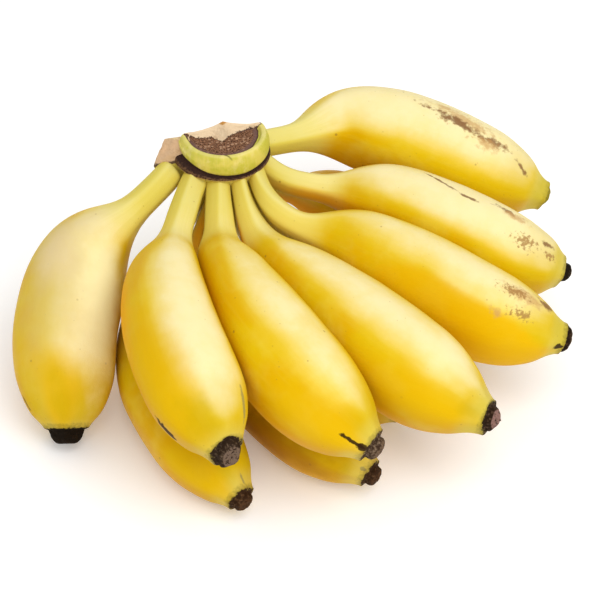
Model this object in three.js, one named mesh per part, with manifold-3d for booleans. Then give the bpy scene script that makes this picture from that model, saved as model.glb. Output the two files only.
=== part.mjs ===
// A hand of baby bananas: two rows of chubby fingers on one crown, cut from the bunch and set down crown up.
// Millimetres, +Z up, standing on z = 0. While it is built, x and y are measured from the crown's axis; the
// finished hand is then centred over the origin.
import * as THREE from "three";
import { ConvexGeometry } from "three/addons/geometries/ConvexGeometry.js";
import { mergeVertices } from "three/addons/utils/BufferGeometryUtils.js";
import Module from "manifold-3d";

const wasm = await Module();
wasm.setup();

// ---------------------------------------------------------------- driving dimensions
const UP = new THREE.Vector3(0, 0, 1);

const JOINT_GAP = 0.4; // left between neighbouring pieces

// The crown: the stump of the bunch's stem that the stalks grow from, cut through behind them.
const CROWN_RADIUS = 15; // at the bract scar
const RIM_RADIUS = 13.8; // at the cut across the top
const FOOT_RADIUS = 10.5; // under the upper row's stalks
const CROWN_TOP = 70;
const SCAR_HEIGHT = 61; // the bract scar, a low ledge round the crown above the stalks
const SCAR_RISE = 0.8; // how far the ledge stands out
const SCAR_WIDTH = 1.6; // half the height that the ledge covers
const FLARE_HEIGHT = 8; // the crown widens this far below the scar
const CROWN_BASE = 42;
const FOOT_TAPER = 4; // height of the tapering end under the foot
const CUT_FACING = 104; // degrees from +X, anticlockwise from above, to where the cut face looks
const CUT_REACH = 3; // how far behind the axis the cut lies
const DISH_RADIUS = 17; // the knife left the top a little hollow
const DISH_DEPTH = 2;
const CROWN_SIDES = 40;

// Torn flesh that stands up along the back of the top: the corners of a convex block.
const TORN_CORNERS = [
  [-10.5, 0.4, 69.9], [-0.4, 3, 73], [11, 5.8, 70.2], [1, -2.5, 69], [-8, 0, 64], [9, 4, 64],
];

// The wing at the crown's left end, left by a second, slanting cut: the corners of a convex block.
const WING_CORNERS = [
  [-11.5, -3.5, 69], [-12, -0.5, 69], [-19.5, 1.5, 66], [-24, -5, 60.5], [-13, -7, 61.5],
  [-20, 1, 52], [-21, -4, 53], [-12, -7, 50], [-10, 1, 50],
];
const WING_SPREAD = 1.8; // how far a corner moves for its faces to move by one

// A finger's skin.
const SIDES = 20; // facets round it, a multiple of the ridges
const STALK_SECTIONS = 4; // rings of facets from the root to just before the neck
const BODY_SECTIONS = 20; // and from there to the tip
const RIDGES = 5; // long ridges of a banana's skin
const RIDGE_RISE = 0.02; // how far a ridge stands out, as a share of the radius
const ROOT_WIDTH = 0.85; // a stalk is narrower from side to side where it leaves the crown
const ROOT_TAPER = 26; // and is round again this far from its buried end
const FACING_REACH = 9; // a section looks along the middle line between two points this far either side of it

// Its radius, as [share of the length from neck to tip, share of the fullest radius].
const SWELL = [
  [-0.08, 0.3],
  [0.02, 0.31],
  [0.1, 0.55],
  [0.21, 0.83],
  [0.38, 0.97],
  [0.58, 1],
  [0.76, 0.94],
  [0.87, 0.72],
  [0.93, 0.45],
  [0.965, 0.33],
  [1, 0.29],
];

// Each finger: its girth, the diameter where it is fullest, and the points that its middle line goes through.
// The stalk's run from the root in the crown to the neck, and the body's from the shoulder by the belly and
// the taper to the tip.
const UPPER_ROW = [
  {
    girth: 36.5,
    stalk: [[-17, -6, 58], [-31, -19, 50.5]],
    body: [[-45, -26.5, 40.5], [-52, -50, 27.5], [-51.5, -70, 17.5], [-51, -83.2, 4.3]],
  },
  {
    girth: 35,
    stalk: [[-9.5, -7, 57.5], [-15.5, -33, 51]],
    body: [[-16.5, -48.5, 50.5], [-14, -80, 50.5], [-4.2, -110.2, 44.6], [4.6, -125.2, 36.2]],
  },
  {
    girth: 36,
    stalk: [[-1.5, -8, 57.5], [-1, -30, 49.5]],
    body: [[1, -50, 48.5], [15, -81, 48], [35, -105, 39.5], [50.5, -115.5, 30.6]],
  },
  {
    girth: 36.4,
    stalk: [[5, -8, 57.5], [7.5, -18.5, 52], [10.5, -26, 47.5]],
    body: [[19, -43.5, 44], [46, -72, 41.5], [70, -93, 37], [87.6, -102.7, 31.5]],
  },
  {
    girth: 33.5,
    stalk: [[9.5, -6.5, 57.5], [13, -16, 54], [25, -25, 49]],
    body: [[40, -28, 46], [62, -42, 43], [89.5, -59, 37.5], [114.5, -61, 30]],
  },
  {
    girth: 32,
    stalk: [[12, 0, 57.5], [19.5, -5, 54], [34, -5, 50]],
    body: [[50, -8, 49], [75, -20, 45], [100, -28.5, 38], [117.2, -27.8, 31.2]],
  },
  {
    girth: 34,
    stalk: [[9, 5, 61], [25, 12, 59.5]],
    body: [[39.5, 22.5, 57], [61, 20.5, 53.5], [90, 12.5, 44], [112.5, 10, 35]],
  },
];
const LOWER_ROW = [
  {
    girth: 30.5,
    stalk: [[-9, -4, 47], [-22, -27, 32]],
    body: [[-23.5, -42, 20], [-23, -57, 16], [-10.5, -89.5, 15.5], [8.5, -116, 8]],
  },
  {
    girth: 30.5,
    stalk: [[-3.5, -7, 46], [-9, -28, 32]],
    body: [[-2, -47, 20], [12.5, -65.5, 15.5], [31, -90, 15], [50.5, -105, 9]],
  },
  {
    girth: 30,
    stalk: [[3, -8, 46], [16, -27, 31]],
    body: [[27, -41, 20], [41, -57, 15.5], [62.5, -74.5, 9]],
  },
  {
    girth: 30,
    stalk: [[8, -4, 46], [28, -14, 31]],
    body: [[44, -19, 21], [67, -27, 15.5], [96, -36, 9]],
  },
  {
    girth: 29,
    stalk: [[8, 2, 48], [23, 11, 37]],
    body: [[36, 18, 28], [62, 7, 15.5], [94, -12, 9]],
  },
];

// ---------------------------------------------------------------- helpers
const { degToRad, lerp, smoothstep } = THREE.MathUtils;

/** Rows of coordinates as vectors. */
function vectors(rows) {
  return rows.map((row) => new THREE.Vector3(...row));
}

/** A closed geometry as a solid for cutting and joining. */
function solidOf(geometry) {
  const bare = geometry.clone();
  bare.deleteAttribute("normal");
  bare.deleteAttribute("uv");
  const merged = mergeVertices(bare, 1e-3);
  const vertProperties = merged.getAttribute("position").array;
  const triVerts = new Uint32Array(merged.index.array);
  return new wasm.Manifold(new wasm.Mesh({ numProp: 3, vertProperties, triVerts }));
}

/** A solid as a geometry again. */
function geometryOf(solid) {
  const mesh = solid.getMesh();
  const geometry = new THREE.BufferGeometry();
  geometry.setAttribute("position", new THREE.BufferAttribute(new Float32Array(mesh.vertProperties), 3));
  geometry.setIndex(new THREE.BufferAttribute(new Uint32Array(mesh.triVerts), 1));
  geometry.computeVertexNormals();
  return geometry;
}

// ---------------------------------------------------------------- fingers
/** A finger's skin sections along its middle line: where each is, which way it faces and how wide it is. */
function layOut({ girth, stalk, body }) {
  const points = vectors([...stalk, ...body]);
  const curve = new THREE.CatmullRomCurve3(points, false, "centripetal");
  const stepsPerPoint = 40;
  const lengths = curve.getLengths(stepsPerPoint * (points.length - 1));
  const length = lengths.at(-1);
  const neck = lengths[stepsPerPoint * (stalk.length - 1)] / length;
  const profile = SWELL.map(([share, size]) => new THREE.Vector2(lerp(neck, 1, share), size));
  const swell = new THREE.SplineCurve(profile).getPoints(BODY_SECTIONS - 1);
  const rings = swell.map(({ x, y }) => ({ share: x, radius: (girth / 2) * y }));
  const [{ share: start, radius }] = rings;
  for (let i = STALK_SECTIONS - 1; i >= 0; i--) {
    rings.unshift({ share: (start * i) / STALK_SECTIONS, radius });
  }
  const reach = FACING_REACH / length;
  for (const ring of rings) {
    ring.centre = curve.getPointAt(ring.share);
    const behind = curve.getPointAt(Math.max(ring.share - reach, 0));
    const facing = curve.getPointAt(Math.min(ring.share + reach, 1)).sub(behind).normalize();
    ring.right = facing.clone().cross(UP).normalize();
    ring.top = ring.right.clone().cross(facing);
    ring.width = lerp(ROOT_WIDTH, 1, smoothstep(ring.share * length, 0, ROOT_TAPER));
  }
  return rings;
}

/** How far a point is from a finger's middle line, as a multiple of the finger's radius there. */
function closeness(point, rings) {
  let nearest = Infinity;
  const segment = new THREE.Line3();
  const foot = new THREE.Vector3();
  for (let i = 1; i < rings.length; i++) {
    segment.set(rings[i - 1].centre, rings[i].centre);
    const t = segment.closestPointToPointParameter(point, true);
    segment.at(t, foot);
    nearest = Math.min(nearest, foot.distanceTo(point) / lerp(rings[i - 1].radius, rings[i].radius, t));
  }
  return nearest;
}

/** How much of its reach from the middle line a skin point keeps, where its neighbours press on it. */
function pressed(centre, skin, neighbours) {
  const touching = 1.06; // closeness at which a neighbour begins to press
  const halvings = 14;
  const least = 1e-4;
  const radius = skin.distanceTo(centre);
  const probe = new THREE.Vector3();
  let kept = 1;
  for (const neighbour of neighbours) {
    if (closeness(skin, neighbour) > touching) continue;
    let low = 0;
    let high = kept;
    for (let i = 0; i < halvings; i++) {
      const middle = (low + high) / 2;
      probe.lerpVectors(centre, skin, middle);
      const clear = closeness(probe, neighbour) - JOINT_GAP / radius > middle;
      if (clear) low = middle;
      else high = middle;
    }
    kept = Math.max(low, least);
  }
  return kept;
}

/** A finger's skin: a lathed profile, ridged, laid along the middle line and pressed by its neighbours. */
function fingerSolid(rings, neighbours) {
  const profile = [new THREE.Vector2(0, 0)];
  rings.forEach(({ radius }, row) => profile.push(new THREE.Vector2(radius, row)));
  profile.push(new THREE.Vector2(0, rings.length - 1));
  const geometry = new THREE.LatheGeometry(profile, SIDES);
  const position = geometry.getAttribute("position");
  const skin = new THREE.Vector3();
  for (let i = 0; i < position.count; i++) {
    const { centre, right, top, width } = rings[Math.round(position.getY(i))];
    const [x, z] = [position.getX(i), position.getZ(i)];
    const ridge = 1 + RIDGE_RISE * Math.sin(RIDGES * Math.atan2(z, x));
    skin.copy(centre).addScaledVector(right, x * ridge * width).addScaledVector(top, z * ridge);
    const onSkin = x !== 0 || z !== 0;
    if (onSkin) skin.lerpVectors(centre, skin, pressed(centre, skin, neighbours));
    position.setXYZ(i, skin.x, skin.y, Math.max(skin.z, 0));
  }
  return solidOf(geometry);
}

// ---------------------------------------------------------------- the crown
/** The stem's stump before it is cut, grown outwards by a clearance. */
function stump(clearance) {
  const profile = [
    [0, CROWN_BASE - clearance],
    [FOOT_RADIUS - FOOT_TAPER + clearance, CROWN_BASE - clearance],
    [FOOT_RADIUS + clearance, CROWN_BASE + FOOT_TAPER],
    [FOOT_RADIUS + clearance, SCAR_HEIGHT - FLARE_HEIGHT],
    [CROWN_RADIUS + clearance, SCAR_HEIGHT - SCAR_WIDTH],
    [CROWN_RADIUS + SCAR_RISE + clearance, SCAR_HEIGHT],
    [CROWN_RADIUS + clearance, SCAR_HEIGHT + SCAR_WIDTH],
    [RIM_RADIUS + clearance, CROWN_TOP],
    [0, CROWN_TOP],
  ].map(([x, y]) => new THREE.Vector2(x, y));
  return solidOf(new THREE.LatheGeometry(profile, CROWN_SIDES).rotateX(Math.PI / 2));
}

/** The wing, grown outwards by a clearance. */
function wing(clearance) {
  const corners = vectors(WING_CORNERS);
  const centre = new THREE.Box3().setFromPoints(corners).getCenter(new THREE.Vector3());
  for (const corner of corners) {
    const outward = corner.clone().sub(centre).normalize();
    corner.addScaledVector(outward, WING_SPREAD * clearance);
  }
  return solidOf(new ConvexGeometry(corners));
}

/** The stump with its top hollowed, its torn edge and its back cut away, and the wing. */
function crownSolid() {
  const dish = new THREE.SphereGeometry(DISH_RADIUS, CROWN_SIDES, CROWN_SIDES)
    .translate(0, -CUT_REACH, CROWN_TOP + DISH_RADIUS - DISH_DEPTH);
  const torn = new ConvexGeometry(vectors(TORN_CORNERS));
  const reach = 4 * CROWN_RADIUS;
  const behind = new THREE.BoxGeometry(reach, reach, reach)
    .translate(reach / 2 + CUT_REACH, 0, SCAR_HEIGHT)
    .rotateZ(degToRad(CUT_FACING));
  const top = stump(0).subtract(solidOf(dish)).add(solidOf(torn));
  return top.subtract(solidOf(behind)).add(wing(0));
}

// ---------------------------------------------------------------- the hand
const peel = new THREE.MeshStandardMaterial({ color: 0xe8c534, roughness: 0.5, metalness: 0 });
const stem = new THREE.MeshStandardMaterial({ color: 0xcfcb74, roughness: 0.7, metalness: 0 });
const hand = new THREE.Group();

/** Adds one piece to the hand. */
function addPart(name, solid, material) {
  const mesh = new THREE.Mesh(geometryOf(solid), material);
  mesh.name = name;
  hand.add(mesh);
}

addPart("crown", crownSolid(), stem);
const rows = { upper: UPPER_ROW.map(layOut), lower: LOWER_ROW.map(layOut) };
const fingers = [...rows.upper, ...rows.lower];
const socket = stump(JOINT_GAP).add(wing(JOINT_GAP));
for (const [row, members] of Object.entries(rows)) {
  members.forEach((finger, i) => {
    const neighbours = fingers.filter((other) => other !== finger);
    addPart(`${row}_finger_${i + 1}`, fingerSolid(finger, neighbours).subtract(socket), peel);
  });
}

const extent = new THREE.Box3().setFromObject(hand);
const middle = extent.getCenter(new THREE.Vector3());
hand.position.set(-middle.x, -middle.y, -extent.min.z);

export default hand;
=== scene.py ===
"""A hand of baby bananas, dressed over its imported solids.

Twelve chubby fingers grow in two rows from one cut crown. Each finger is lofted again through the skin
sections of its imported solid, with a finer skin, soft ridges and a dry tip. The crown is a stump with a bract
scar round it, a band of green skin above the scar, and a dry, fibrous cut with torn flesh along its back. A
wing of older cut flesh is at its left end. Lengths are in metres, and MM is a millimetre.
"""

import logging
import math
from collections.abc import Mapping, Sequence
from dataclasses import dataclass
from enum import Enum

import bmesh
import bpy
import numpy as np
from mathutils import Matrix, Vector, noise


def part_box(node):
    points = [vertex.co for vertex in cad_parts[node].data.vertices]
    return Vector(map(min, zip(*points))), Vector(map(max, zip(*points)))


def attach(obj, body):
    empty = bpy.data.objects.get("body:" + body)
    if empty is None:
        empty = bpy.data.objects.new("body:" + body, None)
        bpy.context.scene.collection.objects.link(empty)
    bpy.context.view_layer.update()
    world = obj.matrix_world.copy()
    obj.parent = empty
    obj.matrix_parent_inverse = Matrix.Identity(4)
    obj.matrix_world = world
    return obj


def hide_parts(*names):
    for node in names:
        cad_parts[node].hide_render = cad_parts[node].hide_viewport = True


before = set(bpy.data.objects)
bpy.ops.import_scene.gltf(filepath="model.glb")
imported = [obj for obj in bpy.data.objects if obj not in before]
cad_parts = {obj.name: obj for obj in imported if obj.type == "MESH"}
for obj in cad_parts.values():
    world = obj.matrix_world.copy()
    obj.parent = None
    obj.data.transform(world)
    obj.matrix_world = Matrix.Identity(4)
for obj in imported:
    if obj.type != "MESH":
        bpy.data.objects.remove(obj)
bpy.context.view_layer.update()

MM = 0.001
WELD = 1e-7  # points of a made mesh nearer than this are one
SOLID_WELD = 1e-6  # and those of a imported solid
BODY = "root"

Colour = tuple[float, float, float, float]
Pair = tuple[float, float]
Triple = tuple[float, float, float]
Curve = tuple[Pair, ...]
log = logging.getLogger("bananas")


# ---------------------------------------------------------------- small helpers
def tone(red: int, green: int, blue: int) -> Colour:
    """A display colour, 0 to 255 a channel, as the linear colour that a shader takes."""
    return (*(linear(channel / 255) for channel in (red, green, blue)), 1.0)


def linear(value: float) -> float:
    """One display channel, 0 to 1, in linear light."""
    return value / 12.92 if value <= 0.04045 else ((value + 0.055) / 1.055) ** 2.4


def smoothstep(low: float, high: float, value: np.ndarray) -> np.ndarray:
    """0 up to low, 1 from high, and an even S between them."""
    share = np.clip((value - low) / (high - low), 0, 1)
    return share * share * (3 - 2 * share)


def band(edges: tuple[float, float, float, float], height: np.ndarray) -> np.ndarray:
    """1 between the two middle edges, in millimetres, and 0 beyond the outer two."""
    low, start, end, high = (edge * MM for edge in edges)
    return smoothstep(low, start, height) * smoothstep(high, end, height)


def smooth_through(knots: np.ndarray, values: np.ndarray, at: np.ndarray) -> np.ndarray:
    """A smooth curve through given values.

    Args:
        knots: Where the values are, rising.
        values: One row for each knot.
        at: Where the curve is wanted.

    Returns:
        One row for each place in at.
    """
    slopes = np.gradient(values, knots, axis=0)
    left = np.clip(np.searchsorted(knots, at) - 1, 0, len(knots) - 2)
    column = (-1,) + (1,) * (values.ndim - 1)
    span = (knots[left + 1] - knots[left]).reshape(column)
    share = ((at - knots[left]) / (knots[left + 1] - knots[left])).reshape(column)
    square = share * share
    cube = square * share
    start = (2 * cube - 3 * square + 1) * values[left] + (cube - 2 * square + share) * span * slopes[left]
    end = (3 * square - 2 * cube) * values[left + 1] + (cube - square) * span * slopes[left + 1]
    return start + end


def rough(places: np.ndarray, grain: float) -> np.ndarray:
    """Smooth noise, about -1 to 1, for every place in an array.

    Args:
        places: Points, in metres, in an array whose last side is 3 long.
        grain: Size of the noise's lumps, in metres.

    Returns:
        The noise, in the same arrangement.
    """
    flat = places.reshape(-1, 3) / grain
    values = [noise.fractal(Vector(point), 1.0, 2.0, 3) for point in flat]
    return np.array(values).reshape(places.shape[:-1])


def between(curve: Curve, at: np.ndarray) -> np.ndarray:
    """Straight lines through a curve's points, level beyond its ends."""
    return np.interp(at, *zip(*curve))


def middle_of(rows: np.ndarray) -> np.ndarray:
    """The middle of each row of points, laid out so that it can be taken from them."""
    return rows.mean(axis=1, keepdims=True)


def wrapped_skin(name: str, places: np.ndarray, attributes: Mapping[str, np.ndarray]) -> bpy.types.Object:
    """A closed skin: a grid that is wrapped round, its seam and its two ends welded.

    Args:
        name: The piece's name.
        places: The skin's points, rows by columns by 3. The first row and the last one each close to a point.
        attributes: Vectors for the material, in arrays laid out as the places are.

    Returns:
        The piece, at the origin.
    """
    places[[0, -1]] = middle_of(places[[0, -1]])
    rows, columns = places.shape[:2]
    mesh = bmesh.new()
    bmesh.ops.create_grid(mesh, x_segments=columns, y_segments=rows - 1, size=0.5)
    layers = {key: mesh.verts.layers.float_vector.new(key) for key in attributes}
    for vertex in mesh.verts:
        column = round((vertex.co.x + 0.5) * columns) % columns
        row = round((vertex.co.y + 0.5) * (rows - 1))
        vertex.co = places[row, column]
        for key, layer in layers.items():
            vertex[layer] = attributes[key][row, column]
    bmesh.ops.remove_doubles(mesh, verts=mesh.verts, dist=WELD)
    bmesh.ops.recalc_face_normals(mesh, faces=mesh.faces)
    return piece_from(name, mesh, 1)


def piece_from(name: str, mesh: bmesh.types.BMesh, smoothing: int) -> bpy.types.Object:
    """A smooth-shaded object from a bmesh, which is used up.

    Args:
        name: The piece's name.
        mesh: Its shape.
        smoothing: Levels of subdivision, the same in the view and in the render.

    Returns:
        The object, in the scene.
    """
    for face in mesh.faces:
        face.smooth = True
    data = bpy.data.meshes.new(name)
    mesh.to_mesh(data)
    mesh.free()
    piece = bpy.data.objects.new(name, data)
    bpy.context.scene.collection.objects.link(piece)
    if smoothing:
        modifier = piece.modifiers.new("Smooth", "SUBSURF")
        modifier.levels = smoothing
        modifier.render_levels = smoothing
    return piece


def mount(piece: bpy.types.Object, material: bpy.types.Material, node: str | None) -> None:
    """Dresses a finished piece and ties it to the frame.

    Args:
        piece: The piece.
        material: Its finish.
        node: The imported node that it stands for, if any.
    """
    piece.data.materials.append(material)
    if node:
        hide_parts(node)
    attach(piece, BODY)
    log.info("%s: %d faces before smoothing", piece.name, len(piece.data.polygons))


# ---------------------------------------------------------------- material nodes
class Wire:
    """One output of a material's nodes. Arithmetic on a number adds Math nodes."""

    def __init__(self, sheet: "NodeSheet", socket: bpy.types.NodeSocket) -> None:
        """Keeps the socket and the sheet that it is on."""
        self.sheet = sheet
        self.socket = socket

    def math(self, operation: str, *values: "Wire | float") -> "Wire":
        """The result of a Math node on these values."""
        return self.sheet.wire("ShaderNodeMath", {"operation": operation}, dict(enumerate(values)))

    def __add__(self, other: "Wire | float") -> "Wire":
        """This plus another."""
        return self.math("ADD", self, other)

    def __radd__(self, other: float) -> "Wire":
        """A number plus this."""
        return self.math("ADD", other, self)

    def __sub__(self, other: "Wire | float") -> "Wire":
        """This less another."""
        return self.math("SUBTRACT", self, other)

    def __rsub__(self, other: float) -> "Wire":
        """A number less this."""
        return self.math("SUBTRACT", other, self)

    def __mul__(self, other: "Wire | float") -> "Wire":
        """This times another."""
        return self.math("MULTIPLY", self, other)

    def __rmul__(self, other: float) -> "Wire":
        """A number times this."""
        return self.math("MULTIPLY", other, self)

    def larger(self, other: "Wire | float") -> "Wire":
        """The larger of this and another."""
        return self.math("MAXIMUM", self, other)

    def fade(self, low: float, high: float, start: float = 1.0) -> "Wire":
        """The start up to low, 0 from high, and an even S between them."""
        return self.rise(low, high, start, 0.0)

    def above(self, edge: Pair) -> "Wire":
        """1 over an edge and 0 under it. The edge is its height and how wide it is blurred."""
        return self.rise(edge[0] - edge[1] / 2, edge[0] + edge[1] / 2)

    def below(self, edge: Pair) -> "Wire":
        """1 under an edge and 0 over it. The edge is its height and how wide it is blurred."""
        return self.fade(edge[0] - edge[1] / 2, edge[0] + edge[1] / 2)

    def rise(self, low: float, high: float, start: float = 0.0, end: float = 1.0) -> "Wire":
        """An even S from start to end as this goes from low to high, and level beyond.

        Args:
            low: Where the S starts.
            high: Where it ends.
            start: Its value up to low.
            end: Its value from high.

        Returns:
            The S.
        """
        settings = {"interpolation_type": "SMOOTHSTEP"}
        inputs = {"Value": self, "From Min": low, "From Max": high, "To Min": start, "To Max": end}
        return self.sheet.wire("ShaderNodeMapRange", settings, inputs)


class NodeSheet:
    """The nodes of one material."""

    def __init__(self, name: str) -> None:
        """Starts an empty material of that name.

        Args:
            name: The material's name.
        """
        self.material = bpy.data.materials.new(name)
        self.material.use_nodes = True
        self.tree = self.material.node_tree
        self.tree.nodes.clear()

    def node(
        self,
        kind: str,
        settings: Mapping[str, object] | None = None,
        inputs: Mapping[str | int, object] | None = None,
    ) -> bpy.types.Node:
        """Adds any node.

        Args:
            kind: Its type.
            settings: Its own settings, set first.
            inputs: A value or a wire for each socket, by name or number.

        Returns:
            The node.
        """
        node = self.tree.nodes.new(kind)
        for key, value in (settings or {}).items():
            setattr(node, key, value)
        for key, value in (inputs or {}).items():
            if isinstance(value, Wire):
                self.tree.links.new(value.socket, node.inputs[key])
            else:
                node.inputs[key].default_value = value
        return node

    def wire(
        self,
        kind: str,
        settings: Mapping[str, object] | None = None,
        inputs: Mapping[str | int, object] | None = None,
        output: str | int = 0,
    ) -> Wire:
        """One output of a new node, by name or number; the rest is as for a node."""
        return Wire(self, self.node(kind, settings, inputs).outputs[output])

    def places(self) -> Wire:
        """Object coordinates, in metres."""
        return self.wire("ShaderNodeTexCoord", output="Object")

    def attribute(self, name: str) -> Wire:
        """One of the piece's own vectors."""
        settings = {"attribute_type": "GEOMETRY", "attribute_name": name}
        return self.wire("ShaderNodeAttribute", settings, output="Vector")

    def toward(self, direction: Triple) -> Wire:
        """How far the surface looks in a direction, -1 to 1.

        Args:
            direction: The direction, of any length.

        Returns:
            The cosine of the angle between them.
        """
        normal = self.wire("ShaderNodeNewGeometry", output="Normal")
        inputs = {0: normal, 1: Vector(direction).normalized()}
        return self.wire("ShaderNodeVectorMath", {"operation": "DOT_PRODUCT"}, inputs, "Value")

    def parts(self, vector: Wire) -> tuple[Wire, Wire, Wire]:
        """The three numbers of a vector."""
        outputs = self.node("ShaderNodeSeparateXYZ", None, {0: vector}).outputs
        return Wire(self, outputs[0]), Wire(self, outputs[1]), Wire(self, outputs[2])

    def stretched(self, vector: Wire, scale: Triple) -> Wire:
        """A vector with each side times its own number."""
        return self.wire("ShaderNodeVectorMath", {"operation": "MULTIPLY"}, {0: vector, 1: scale})

    def noise(self, where: Wire, scale: float, detail: float = 2.0, roughness: float = 0.5) -> Wire:
        """Cloudy noise, 0 to 1.

        Args:
            where: Coordinates.
            scale: Lumps for each unit of the coordinates.
            detail: Finer layers.
            roughness: How strong the finer layers are.

        Returns:
            The noise.
        """
        inputs = {"Vector": where, "Scale": scale, "Detail": detail, "Roughness": roughness}
        return self.wire("ShaderNodeTexNoise", None, inputs, "Fac")

    def cells(self, where: Wire, scale: float) -> tuple[Wire, Wire]:
        """How far the nearest of many scattered points is, and a random number of that point's own.

        Args:
            where: Coordinates.
            scale: Points for each unit of the coordinates.

        Returns:
            The distance in such units, and the number, 0 to 1.
        """
        node = self.node("ShaderNodeTexVoronoi", None, {"Vector": where, "Scale": scale})
        own = self.parts(Wire(self, node.outputs["Color"]))[0]
        return Wire(self, node.outputs["Distance"]), own

    def from_middle(self, where: Wire, middle: Sequence[float], turn: Sequence[float], half: Triple) -> Wire:
        """How far out a place is in an ellipsoid: 0 at its middle and 1 on its skin.

        Args:
            where: Coordinates.
            middle: Where the ellipsoid's middle is.
            turn: How it is turned, in radians about X, Y and Z.
            half: Half its size along each side.

        Returns:
            The share.
        """
        inputs = {"Vector": where, "Location": middle, "Rotation": turn, "Scale": half}
        local = self.wire("ShaderNodeMapping", {"vector_type": "TEXTURE"}, inputs)
        return self.wire("ShaderNodeVectorMath", {"operation": "LENGTH"}, {0: local}, "Value")

    def mix(self, share: Wire | float, first: Wire | Colour, second: Wire | Colour) -> Wire:
        """One colour over another.

        Args:
            share: How much of the second.
            first: The colour beneath.
            second: The colour on top.

        Returns:
            The mixed colour.
        """
        settings = {"data_type": "RGBA", "clamp_factor": True}
        return self.wire("ShaderNodeMix", settings, {0: share, 6: first, 7: second}, 2)

    def raised(self, height: Wire, depth: float, under: Wire | None = None) -> Wire:
        """A bumped normal.

        Args:
            height: The relief, 0 to 1.
            depth: How high 1 stands, in metres.
            under: A normal that it is added to.

        Returns:
            The normal.
        """
        inputs: dict[str | int, object] = {"Height": height, "Distance": depth, "Strength": 1.0}
        if under:
            inputs["Normal"] = under
        return self.wire("ShaderNodeBump", None, inputs)

    def finish(self, **inputs: object) -> bpy.types.Material:
        """Ends the sheet in a Principled shader with these sockets, underscores standing for spaces.

        Args:
            inputs: A value or a wire for each socket.

        Returns:
            The material.
        """
        named = {key.replace("_", " "): value for key, value in inputs.items()}
        shader = self.node("ShaderNodeBsdfPrincipled", None, named)
        output = self.node("ShaderNodeOutputMaterial")
        self.tree.links.new(shader.outputs[0], output.inputs["Surface"])
        return self.material


# ---------------------------------------------------------------- finishes
@dataclass(frozen=True)
class StainAndLightPaint:
    """How one kind of mark looks. Some are real marks on the peel, some are patches of painted light and
    shade.

    Its softness and raggedness are shares of its own size, and its grain is how many lumps a metre its ragged
    edge has.
    """

    colour: Colour
    strength: float
    softness: float
    ragged: float
    grain: float = 420.0


class BlemishAndPaintedLight(Enum):
    """The kinds of mark: the peel's own bruises, lines and tones, and patches of painted highlight and painted
    shade.
    """

    BRUISE = StainAndLightPaint(tone(122, 80, 48), 0.85, 0.7, 1.2)
    DARK = StainAndLightPaint(tone(42, 22, 10), 0.95, 0.3, 0.8)
    TAN = StainAndLightPaint(tone(196, 150, 92), 0.7, 0.9, 1.2)
    SCRATCH = StainAndLightPaint(tone(158, 114, 62), 0.8, 0.8, 2.0, 900.0)
    DULL = StainAndLightPaint(tone(206, 186, 118), 0.6, 0.9, 0.3, 60.0)
    OLIVE = StainAndLightPaint(tone(190, 158, 6), 0.45, 0.9, 0.5, 160.0)
    SHADE = StainAndLightPaint(tone(150, 90, 6), 0.75, 0.9, 0.3, 120.0)
    GREY = StainAndLightPaint(tone(140, 130, 84), 0.7, 0.5, 0.7)
    BLOOM = StainAndLightPaint(tone(228, 206, 160), 0.75, 0.9, 0.35, 60.0)
    # Painted highlight: a pale band where light falls along a side.
    PALE_HIGHLIGHT = StainAndLightPaint(tone(255, 246, 190), 0.9, 0.9, 0.3, 90.0)
    # Painted shade: deeper gold on the lower and left sides, turned from the light.
    GOLD_SHADE = StainAndLightPaint(tone(222, 176, 6), 0.75, 0.7, 0.3, 60.0)
    # Painted shade: deeper gold on a facet turned from the light, crisp along its ridge.
    FACET_SHADE = StainAndLightPaint(tone(224, 174, 2), 0.8, 0.22, 0.12, 60.0)
    # Painted shade: warm orange in the gaps between fingers, under stalks and on a limb turned from the light.
    AMBER_SHADE = StainAndLightPaint(tone(240, 166, 0), 0.85, 0.9, 0.3, 60.0)


@dataclass(frozen=True)
class Mark:
    """A mark on a finger, in millimetres and degrees.

    Its place is a distance from the tip and a turn from the finger's top towards the right, as seen from the
    crown. A positive lean turns its far end back towards the left.
    """

    kind: BlemishAndPaintedLight
    from_tip: float
    turn: float
    length: float
    width: float
    lean: float = 0.0


@dataclass(frozen=True)
class Tip:
    """The dry end that the flower left.

    Its width is a share of the skin's, its lobe depth a share of its own radius, and its curl in degrees. Its
    green says how green the skin beside it is.
    """

    length: float = 4.2 * MM
    width: float = 0.9
    rounding: float = 1.4 * MM
    crust: float = 0.3 * MM
    lobes: int = 0
    lobe_depth: float = 0.0
    spike: float = 0.0
    curl: float = 0.0
    dark: Colour = tone(34, 24, 18)
    light: Colour = tone(96, 76, 58)
    face: Colour = tone(84, 62, 46)
    light_share: float = 0.35
    green: float = 0.3


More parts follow.
